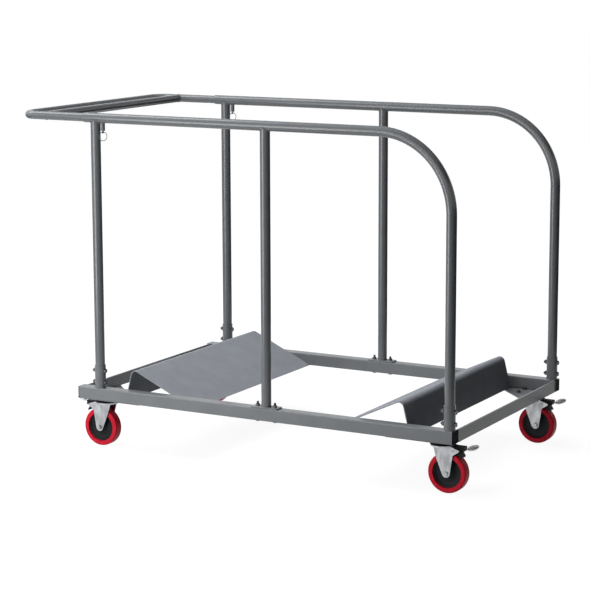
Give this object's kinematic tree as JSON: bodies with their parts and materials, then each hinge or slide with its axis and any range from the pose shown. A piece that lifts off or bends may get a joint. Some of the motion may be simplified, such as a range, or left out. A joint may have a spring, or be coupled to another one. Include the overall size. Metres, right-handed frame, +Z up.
{
  "type": "round table cart",
  "caption": "Wheeled steel cart that carries round folding tables on edge between two bent cradle plates and two side rails, with a push handle that slides and locks.",
  "frame": {"origin": "on the floor, under the middle of the cart's box", "axes": "+X along the cart, from the push handle to the closed end; +Y across it, to the far side rail; +Z up"},
  "size_m": [1.6386, 0.86, 1.1149],
  "materials": {
    "grey_powder_coat": "satin grey powder coat",
    "sheet_powder_coat": "satin grey powder coat on bent sheet",
    "zinc_plated_steel": "bright zinc plating",
    "black_plastic": "moulded black plastic",
    "hub_plastic": "moulded black nylon",
    "red_polyurethane": "glossy red polyurethane tread"
  },
  "bodies": {
    "frame": {"base_rail_near": "grey_powder_coat", "base_rail_far": "grey_powder_coat", "base_bar_left": "grey_powder_coat", "base_bar_right": "grey_powder_coat", "rail_end_plugs": "black_plastic", "corner_gussets": "grey_powder_coat", "cradle_plate_left": "sheet_powder_coat", "cradle_plate_right": "sheet_powder_coat", "post_sockets": "grey_powder_coat", "socket_bolts": "zinc_plated_steel", "socket_nuts": "zinc_plated_steel", "side_rail_near": "grey_powder_coat", "side_rail_far": "grey_powder_coat", "left_post_near": "grey_powder_coat", "left_post_far": "grey_powder_coat", "mid_post_near": "grey_powder_coat", "mid_post_far": "grey_powder_coat", "mid_post_feet": "grey_powder_coat", "foot_bolts": "zinc_plated_steel", "foot_nuts": "zinc_plated_steel", "plunger_housings": "grey_powder_coat", "plunger_spring_near": "zinc_plated_steel", "plunger_spring_far": "zinc_plated_steel", "caster_plates": "zinc_plated_steel", "kingpins": "zinc_plated_steel", "swivel_balls": "zinc_plated_steel", "caster_bolts": "zinc_plated_steel", "caster_nuts": "zinc_plated_steel"},
    "handle": {"handle_loop": "grey_powder_coat", "handle_cross_bar": "grey_powder_coat"},
    "plunger_near": {"plunger_pin_near": "zinc_plated_steel"},
    "plunger_far": {"plunger_pin_far": "zinc_plated_steel"},
    "ring_near": {"pull_ring_near": "zinc_plated_steel"},
    "ring_far": {"pull_ring_far": "zinc_plated_steel"},
    "swivel_right_near": {"fork_right_near": "zinc_plated_steel", "axle_set_right_near": "zinc_plated_steel"},
    "wheel_right_near": {"wheel_hub_right_near": "hub_plastic", "wheel_tread_right_near": "red_polyurethane"},
    "brake_right_near": {"brake_lever_right_near": "black_plastic", "brake_pedal_right_near": "zinc_plated_steel"},
    "swivel_right_far": {"fork_right_far": "zinc_plated_steel", "axle_set_right_far": "zinc_plated_steel"},
    "wheel_right_far": {"wheel_hub_right_far": "hub_plastic", "wheel_tread_right_far": "red_polyurethane"},
    "brake_right_far": {"brake_lever_right_far": "black_plastic", "brake_pedal_right_far": "zinc_plated_steel"},
    "swivel_left_near": {"fork_left_near": "zinc_plated_steel", "axle_set_left_near": "zinc_plated_steel"},
    "wheel_left_near": {"wheel_hub_left_near": "hub_plastic", "wheel_tread_left_near": "red_polyurethane"},
    "brake_left_near": {"brake_lever_left_near": "black_plastic", "brake_pedal_left_near": "zinc_plated_steel"},
    "swivel_left_far": {"fork_left_far": "zinc_plated_steel", "axle_set_left_far": "zinc_plated_steel"},
    "wheel_left_far": {"wheel_hub_left_far": "hub_plastic", "wheel_tread_left_far": "red_polyurethane"},
    "brake_left_far": {"brake_lever_left_far": "black_plastic", "brake_pedal_left_far": "zinc_plated_steel"}
  },
  "joints": [
    {"name": "handle_slide", "type": "slide", "parent": "frame", "child": "handle", "axis": [1, 0, 0], "range_m": [-0.2, 0.1]},
    {"name": "plunger_slide_near", "type": "slide", "parent": "frame", "child": "plunger_near", "axis": [0, 0, -1], "range_m": [0, 0.008], "stiffness_N_per_m": 600, "springref_m": -0.006, "deforming": ["plunger_spring_near"]},
    {"name": "ring_swing_near", "type": "hinge", "parent": "plunger_near", "child": "ring_near", "pos_m": [-0.4912, -0.41, 1.0537], "axis": [-0.5, -0.866, 0], "range_deg": [-10, 70]},
    {"name": "plunger_slide_far", "type": "slide", "parent": "frame", "child": "plunger_far", "axis": [0, 0, -1], "range_m": [0, 0.008], "stiffness_N_per_m": 600, "springref_m": -0.006, "deforming": ["plunger_spring_far"]},
    {"name": "ring_swing_far", "type": "hinge", "parent": "plunger_far", "child": "ring_far", "pos_m": [-0.4912, 0.41, 1.0537], "axis": [-0.5, -0.866, 0], "range_deg": [-10, 70]},
    {"name": "swivel_turn_right_near", "type": "hinge", "parent": "frame", "child": "swivel_right_near", "pos_m": [0.6983, -0.356, 0.1615], "axis": [0, 0, 1], "continuous": true},
    {"name": "wheel_spin_right_near", "type": "hinge", "parent": "swivel_right_near", "child": "wheel_right_near", "pos_m": [0.7183, -0.356, 0.0635], "axis": [0, 1, 0], "continuous": true},
    {"name": "brake_press_right_near", "type": "hinge", "parent": "swivel_right_near", "child": "brake_right_near", "pos_m": [0.7403, -0.356, 0.1355], "axis": [0, 1, 0], "range_deg": [0, 12]},
    {"name": "swivel_turn_right_far", "type": "hinge", "parent": "frame", "child": "swivel_right_far", "pos_m": [0.6983, 0.356, 0.1615], "axis": [0, 0, 1], "continuous": true},
    {"name": "wheel_spin_right_far", "type": "hinge", "parent": "swivel_right_far", "child": "wheel_right_far", "pos_m": [0.7183, 0.356, 0.0635], "axis": [0, 1, 0], "continuous": true},
    {"name": "brake_press_right_far", "type": "hinge", "parent": "swivel_right_far", "child": "brake_right_far", "pos_m": [0.7403, 0.356, 0.1355], "axis": [0, 1, 0], "range_deg": [0, 12]},
    {"name": "swivel_turn_left_near", "type": "hinge", "parent": "frame", "child": "swivel_left_near", "pos_m": [-0.5297, -0.356, 0.1615], "axis": [0, 0, 1], "continuous": true},
    {"name": "wheel_spin_left_near", "type": "hinge", "parent": "swivel_left_near", "child": "wheel_left_near", "pos_m": [-0.5497, -0.356, 0.0635], "axis": [0, 1, 0], "continuous": true},
    {"name": "brake_press_left_near", "type": "hinge", "parent": "swivel_left_near", "child": "brake_left_near", "pos_m": [-0.5717, -0.356, 0.1355], "axis": [0, -1, 0], "range_deg": [0, 12]},
    {"name": "swivel_turn_left_far", "type": "hinge", "parent": "frame", "child": "swivel_left_far", "pos_m": [-0.5297, 0.356, 0.1615], "axis": [0, 0, 1], "continuous": true},
    {"name": "wheel_spin_left_far", "type": "hinge", "parent": "swivel_left_far", "child": "wheel_left_far", "pos_m": [-0.5497, 0.356, 0.0635], "axis": [0, 1, 0], "continuous": true},
    {"name": "brake_press_left_far", "type": "hinge", "parent": "swivel_left_far", "child": "brake_left_far", "pos_m": [-0.5717, 0.356, 0.1355], "axis": [0, -1, 0], "range_deg": [0, 12]}
  ]
}
